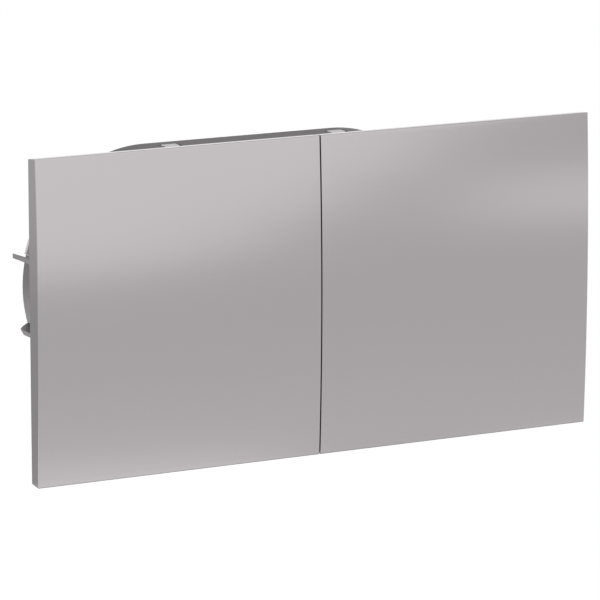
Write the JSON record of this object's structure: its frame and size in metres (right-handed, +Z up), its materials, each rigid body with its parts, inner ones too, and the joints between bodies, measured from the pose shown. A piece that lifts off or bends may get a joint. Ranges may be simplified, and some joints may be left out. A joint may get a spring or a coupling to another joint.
{
  "type": "rocker wall switch",
  "caption": "Flush wall switch with side-by-side bowed satin rockers that tilt and spring back, an obround casing, a steel support frame and spreading claws.",
  "frame": {"origin": "middle of the wall plane, at the centre of the four mounting holes, level with the pads of the support frame", "axes": "+X to the right along the wall, +Y into the wall, +Z up; the rockers face -Y"},
  "size_m": [0.136, 0.0399, 0.071],
  "materials": {
    "satin_lacquer": "moulded plastic with a satin aluminium-coloured lacquer",
    "casing_plastic": "dark grey moulded plastic, fine matt texture",
    "cover_plastic": "light grey moulded plastic",
    "deck_plastic": "mid grey moulded plastic",
    "carrier_plastic": "natural white low-friction plastic",
    "insulator_plastic": "cream moulded insulating plastic",
    "zinc_steel": "zinc-plated pressed steel",
    "claw_steel": "zinc-plated spring steel sheet",
    "bright_steel": "drawn bright steel",
    "spring_steel": "hard drawn spring wire and leaf",
    "contact_copper": "bare copper alloy strip"
  },
  "bodies": {
    "switch_body": {"assembly_screws": "bright_steel", "axle_left": "bright_steel", "axle_right": "bright_steel", "casing": "casing_plastic", "clamp_springs_left": "spring_steel", "clamp_springs_right": "spring_steel", "claw_pin_left": "bright_steel", "claw_pin_right": "bright_steel", "common_bar_left": "contact_copper", "common_bar_right": "contact_copper", "contact_base": "insulator_plastic", "deck": "deck_plastic", "output_strip_bottom_left": "contact_copper", "output_strip_bottom_right": "contact_copper", "output_strip_top_left": "contact_copper", "output_strip_top_right": "contact_copper", "rear_cover": "cover_plastic", "return_spring_bottom_left": "spring_steel", "return_spring_bottom_right": "spring_steel", "return_spring_top_left": "spring_steel", "return_spring_top_right": "spring_steel", "support_frame": "zinc_steel", "terminal_clamps_left": "zinc_steel", "terminal_clamps_right": "zinc_steel"},
    "rocker_left_assembly": {"rocker_left": "satin_lacquer", "rocker_carrier_left": "carrier_plastic"},
    "plunger_top_left_assembly": {"plunger_top_left": "carrier_plastic", "contact_bridge_top_left": "contact_copper"},
    "plunger_bottom_left_assembly": {"plunger_bottom_left": "carrier_plastic", "contact_bridge_bottom_left": "contact_copper"},
    "claw_left_pressing": {"claw_left": "claw_steel"},
    "claw_left_drive": {"claw_screw_left": "bright_steel"},
    "rocker_right_assembly": {"rocker_right": "satin_lacquer", "rocker_carrier_right": "carrier_plastic"},
    "plunger_top_right_assembly": {"plunger_top_right": "carrier_plastic", "contact_bridge_top_right": "contact_copper"},
    "plunger_bottom_right_assembly": {"plunger_bottom_right": "carrier_plastic", "contact_bridge_bottom_right": "contact_copper"},
    "claw_right_pressing": {"claw_right": "claw_steel"},
    "claw_right_drive": {"claw_screw_right": "bright_steel"}
  },
  "joints": [
    {"name": "rocker_left_tilt", "type": "hinge", "parent": "switch_body", "child": "rocker_left_assembly", "pos_m": [-0.03448, -0.0056, 0], "axis": [1, 0, 0], "range_deg": [-3, 3], "stiffness_Nm_per_rad": 0.8},
    {"name": "plunger_top_left_slide", "type": "slide", "parent": "switch_body", "child": "plunger_top_left_assembly", "axis": [0, 1, 0], "range_m": [-0.00084, 0.00084], "deforming": ["return_spring_top_left"]},
    {"name": "plunger_bottom_left_slide", "type": "slide", "parent": "switch_body", "child": "plunger_bottom_left_assembly", "axis": [0, 1, 0], "range_m": [-0.00084, 0.00084], "deforming": ["return_spring_bottom_left"]},
    {"name": "claw_left_spread", "type": "hinge", "parent": "switch_body", "child": "claw_left_pressing", "pos_m": [-0.059, 0.0035, 0], "axis": [0, 0, 1], "range_deg": [0, 12]},
    {"name": "claw_screw_left_advance", "type": "slide", "parent": "switch_body", "child": "claw_left_drive", "axis": [0, 1, 0], "range_m": [0, 0.00116]},
    {"name": "rocker_right_tilt", "type": "hinge", "parent": "switch_body", "child": "rocker_right_assembly", "pos_m": [0.03448, -0.0056, 0], "axis": [1, 0, 0], "range_deg": [-3, 3], "stiffness_Nm_per_rad": 0.8},
    {"name": "plunger_top_right_slide", "type": "slide", "parent": "switch_body", "child": "plunger_top_right_assembly", "axis": [0, 1, 0], "range_m": [-0.00084, 0.00084], "deforming": ["return_spring_top_right"]},
    {"name": "plunger_bottom_right_slide", "type": "slide", "parent": "switch_body", "child": "plunger_bottom_right_assembly", "axis": [0, 1, 0], "range_m": [-0.00084, 0.00084], "deforming": ["return_spring_bottom_right"]},
    {"name": "claw_right_spread", "type": "hinge", "parent": "switch_body", "child": "claw_right_pressing", "pos_m": [0.059, 0.0035, 0], "axis": [0, 0, -1], "range_deg": [0, 12]},
    {"name": "claw_screw_right_advance", "type": "slide", "parent": "switch_body", "child": "claw_right_drive", "axis": [0, 1, 0], "range_m": [0, 0.00116]}
  ],
  "couplings": [
    {"joint": "plunger_top_left_slide", "follows": "rocker_left_tilt", "m_per_rad": -0.016},
    {"joint": "plunger_bottom_left_slide", "follows": "rocker_left_tilt", "m_per_rad": 0.016},
    {"joint": "claw_left_spread", "follows": "claw_screw_left_advance", "rad_per_m": 180.5},
    {"joint": "plunger_top_right_slide", "follows": "rocker_right_tilt", "m_per_rad": -0.016},
    {"joint": "plunger_bottom_right_slide", "follows": "rocker_right_tilt", "m_per_rad": 0.016},
    {"joint": "claw_right_spread", "follows": "claw_screw_right_advance", "rad_per_m": 180.5}
  ]
}
